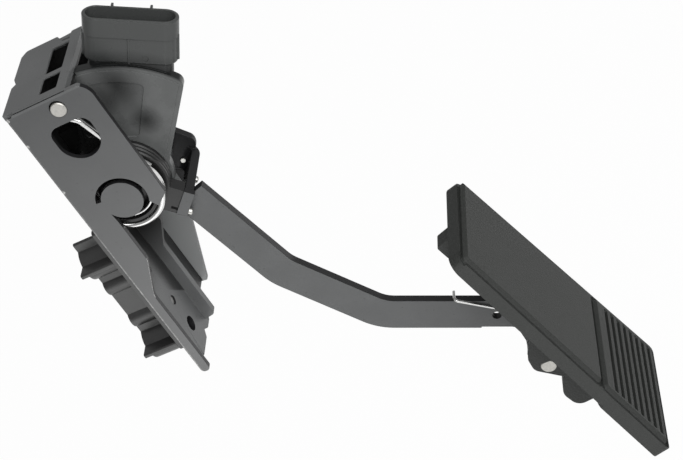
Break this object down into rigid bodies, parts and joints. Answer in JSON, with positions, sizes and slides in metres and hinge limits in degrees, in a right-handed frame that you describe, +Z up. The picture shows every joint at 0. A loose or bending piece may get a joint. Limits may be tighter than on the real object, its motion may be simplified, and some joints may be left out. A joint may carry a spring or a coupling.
{
  "type": "electronic accelerator pedal with position sensor",
  "caption": "Accelerator pedal with a folded bracket, a position sensor with its connector, return springs, a steel arm and a hinged foot pad.",
  "frame": {"origin": "middle of the two bolt holes, on the face that meets the car's bulkhead", "axes": "+X out of the bulkhead towards the driver, +Y to the driver's right, +Z up"},
  "size_m": [0.2292, 0.087, 0.3546],
  "materials": {
    "coated_steel": "satin dark grey electrocoat on pressed steel",
    "plated_steel": "dull zinc plate",
    "spring_steel": "bright drawn spring wire",
    "spacer_plastic": "moulded black nylon",
    "sensor_plastic": "satin moulded black plastic",
    "hub_plastic": "matt moulded black plastic",
    "bush_plastic": "plain bearing plastic",
    "pad_rubber": "finely grained dark moulding",
    "bumper_rubber": "matt black rubber",
    "terminal_brass": "tinned brass",
    "board": "circuit board",
    "magnet": "sintered magnet"
  },
  "bodies": {
    "root": {"bracket": "coated_steel", "mounting_spacer": "spacer_plastic", "mounting_sleeves": "plated_steel", "locating_pins": "spacer_plastic", "cross_pin": "plated_steel", "pivot_axle": "plated_steel", "axle_clip": "spring_steel", "return_spring_outer": "spring_steel", "return_spring_inner": "spring_steel", "sensor_housing": "sensor_plastic", "sensor_cover": "sensor_plastic", "circuit_board": "board", "connector_terminals": "terminal_brass", "rest_bumper": "bumper_rubber", "travel_bumper": "bumper_rubber"},
    "pedal": {"lever_hub": "hub_plastic", "near_bush": "bush_plastic", "far_bush": "bush_plastic", "pedal_arm": "coated_steel", "arm_rivets": "plated_steel", "sensor_rotor": "hub_plastic", "rotor_magnet": "magnet", "pad_spring": "spring_steel"},
    "pad": {"foot_pad": "pad_rubber", "pad_hinge_pin": "plated_steel", "pad_pin_clip": "spring_steel"}
  },
  "joints": [
    {"name": "pedal_pivot", "type": "hinge", "parent": "root", "child": "pedal", "pos_m": [0.0463, -0.01745, 0.06575], "axis": [0, 1, 0], "range_deg": [0, 18], "stiffness_Nm_per_rad": 8, "springref_deg": -14.32},
    {"name": "pad_hinge", "type": "hinge", "parent": "pedal", "child": "pad", "pos_m": [0.1876, 0.00005, -0.13635], "axis": [0, 1, 0], "range_deg": [-4, 0], "stiffness_Nm_per_rad": 0.8, "springref_deg": 14.32}
  ]
}
